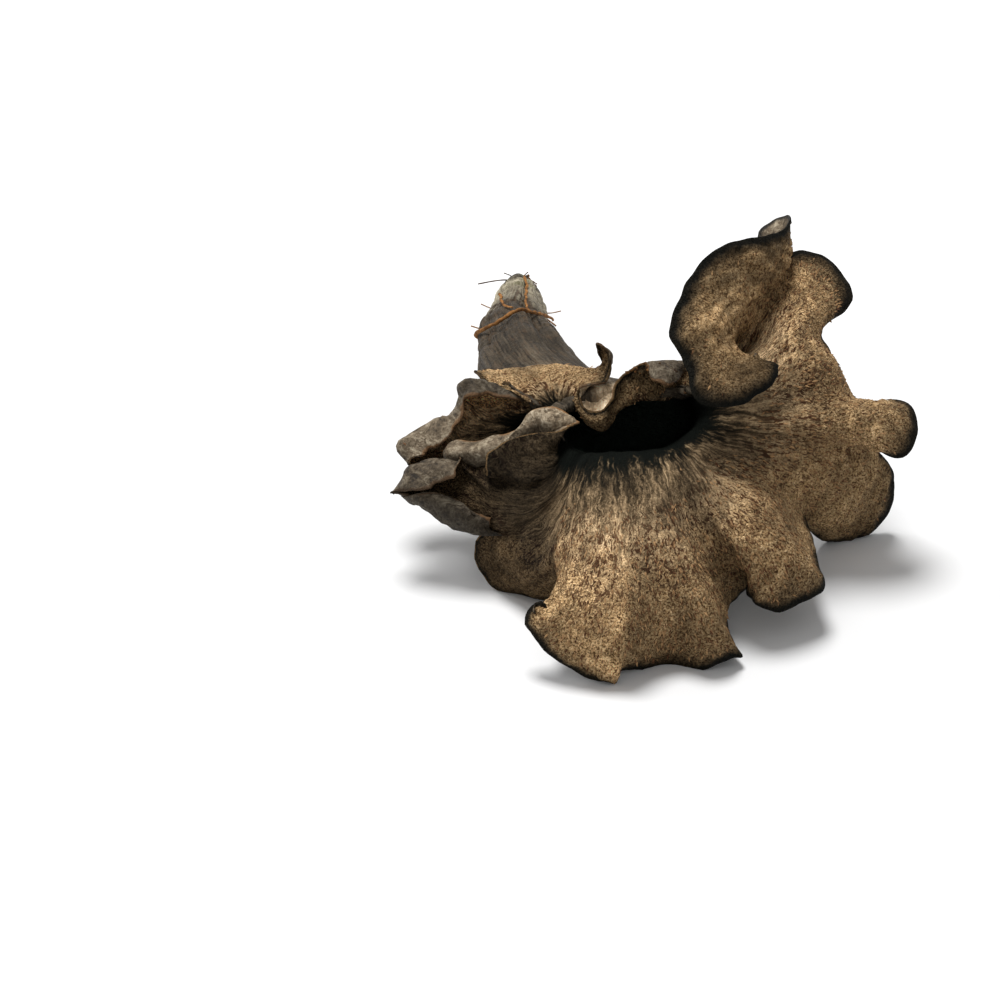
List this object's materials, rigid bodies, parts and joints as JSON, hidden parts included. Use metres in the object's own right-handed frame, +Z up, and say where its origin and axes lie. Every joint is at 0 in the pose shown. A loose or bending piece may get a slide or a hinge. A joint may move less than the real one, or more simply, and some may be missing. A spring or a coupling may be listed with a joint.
{
  "type": "black trumpet mushroom",
  "caption": "Thin-fleshed funnel mushroom lying on its side, its hollow stem opening into a wide brown mouth with frilled, rolled and dark-edged lobes.",
  "frame": {"origin": "middle of the bounding box, at the floor the mushroom lies on", "axes": "+Z up from the floor, +Y from the mouth towards the tip of the stem, +X to the viewer's right when looking into the mouth"},
  "size_m": [0.0794, 0.1162, 0.0468],
  "materials": {
    "trumpet": "matt, fibrous mushroom flesh, brown inside and ash grey outside",
    "root_strand_long": "matt root fibre",
    "root_strand_side": "matt root fibre",
    "root_strand_top": "matt root fibre"
  },
  "bodies": {
    "root": {"trumpet": "trumpet", "root_strand_long": "root_strand_long", "root_strand_side": "root_strand_side", "root_strand_top": "root_strand_top"}
  },
  "joints": []
}
